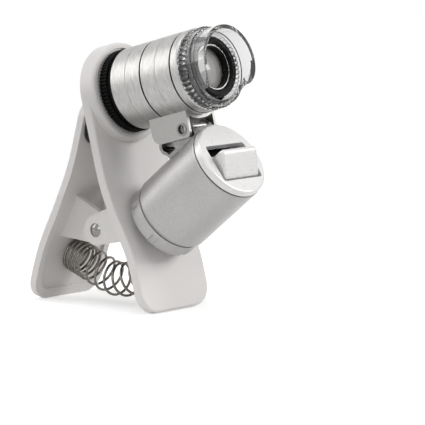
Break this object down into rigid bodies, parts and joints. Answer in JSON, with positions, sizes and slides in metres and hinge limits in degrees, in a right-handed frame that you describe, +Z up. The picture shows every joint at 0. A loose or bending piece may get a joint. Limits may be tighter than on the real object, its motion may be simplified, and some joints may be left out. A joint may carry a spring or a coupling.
{
  "type": "clip-on phone microscope",
  "caption": "Spring clip with a short barrel, knurled focus wheel and clear nose, and a folding lamp pod with a slide switch under the barrel.",
  "frame": {"origin": "middle of the bounding box's bottom face, on the surface that both handle ends stand on", "axes": "+Z up, +X across the jaws, the barrel looks towards -Y and 15 degrees up"},
  "size_m": [0.0212, 0.054, 0.0606],
  "materials": {
    "white_abs": "white moulded ABS, fine satin grain",
    "black_rubber": "matt black rubber",
    "pin_steel": "polished domed steel",
    "spring_steel": "dark oiled spring wire",
    "silver_plated_abs": "satin silver plating on ABS, fine turned lines",
    "black_abs": "matt black ABS",
    "clear_acrylic": "clear moulded acrylic",
    "lens_acrylic": "clear coated optical acrylic",
    "nickel_steel": "nickel-plated sheet steel",
    "bright_ring": "bright turned aluminium",
    "pod_silver_abs": "fine-grained silver plating on ABS",
    "cap_silver_abs": "bright silver plating on ABS",
    "led_clear": "clear epoxy",
    "led_violet": "clear epoxy with a violet tint",
    "board_green": "solder mask green",
    "cell_can": "bright nickel-plated can",
    "contact_steel": "bright spring wire"
  },
  "bodies": {
    "clip_front": {"front_jaw": "white_abs", "pivot_pin": "pin_steel", "clip_spring": "spring_steel", "barrel": "silver_plated_abs", "nose_shroud": "clear_acrylic", "scope_bracket": "nickel_steel", "bracket_pin": "nickel_steel"},
    "clip_rear": {"rear_jaw": "white_abs", "rear_pad": "black_rubber"},
    "focus_ring": {"focus_wheel": "black_abs"},
    "inner_tube": {"lens_tube": "black_abs", "eyepiece_lens": "lens_acrylic", "objective_cell": "black_abs", "objective_lens": "lens_acrylic", "lens_retaining_ring": "bright_ring"},
    "lamp_pod": {"pod_bracket": "nickel_steel", "pod_shell": "pod_silver_abs", "pod_front_cap": "cap_silver_abs", "battery_cap": "pod_silver_abs", "o_ring": "black_rubber", "led_holder": "black_abs", "white_led": "led_clear", "uv_led": "led_violet", "circuit_board": "board_green", "battery_holder": "black_abs", "button_cell_1": "cell_can", "button_cell_2": "cell_can", "button_cell_3": "cell_can", "contact_spring": "contact_steel"},
    "lamp_switch": {"switch_slider": "cap_silver_abs"}
  },
  "joints": [
    {"name": "clip_hinge", "type": "hinge", "parent": "clip_front", "child": "clip_rear", "pos_m": [0, 0.00964, 0.01624], "axis": [-1, 0, 0], "range_deg": [0, 25], "stiffness_Nm_per_rad": 0.15, "springref_deg": -4.01, "deforming": ["clip_spring"]},
    {"name": "focus_turn", "type": "hinge", "parent": "clip_front", "child": "focus_ring", "pos_m": [0, 0.00862, 0.04488], "axis": [0, -0.9659, 0.2588], "range_deg": [-120, 120]},
    {"name": "focus_slide", "type": "slide", "parent": "clip_front", "child": "inner_tube", "axis": [0, -0.9659, 0.2588], "range_m": [-0.001, 0.001]},
    {"name": "lamp_fold", "type": "hinge", "parent": "clip_front", "child": "lamp_pod", "pos_m": [0, -0.01201, 0.03881], "axis": [-1, 0, 0], "range_deg": [0, 30]},
    {"name": "switch_slide", "type": "slide", "parent": "lamp_pod", "child": "lamp_switch", "axis": [0, 0.6211, 0.7837], "range_m": [0, 0.0022]}
  ],
  "couplings": [
    {"joint": "focus_turn", "follows": "focus_slide", "rad_per_m": 2094}
  ]
}
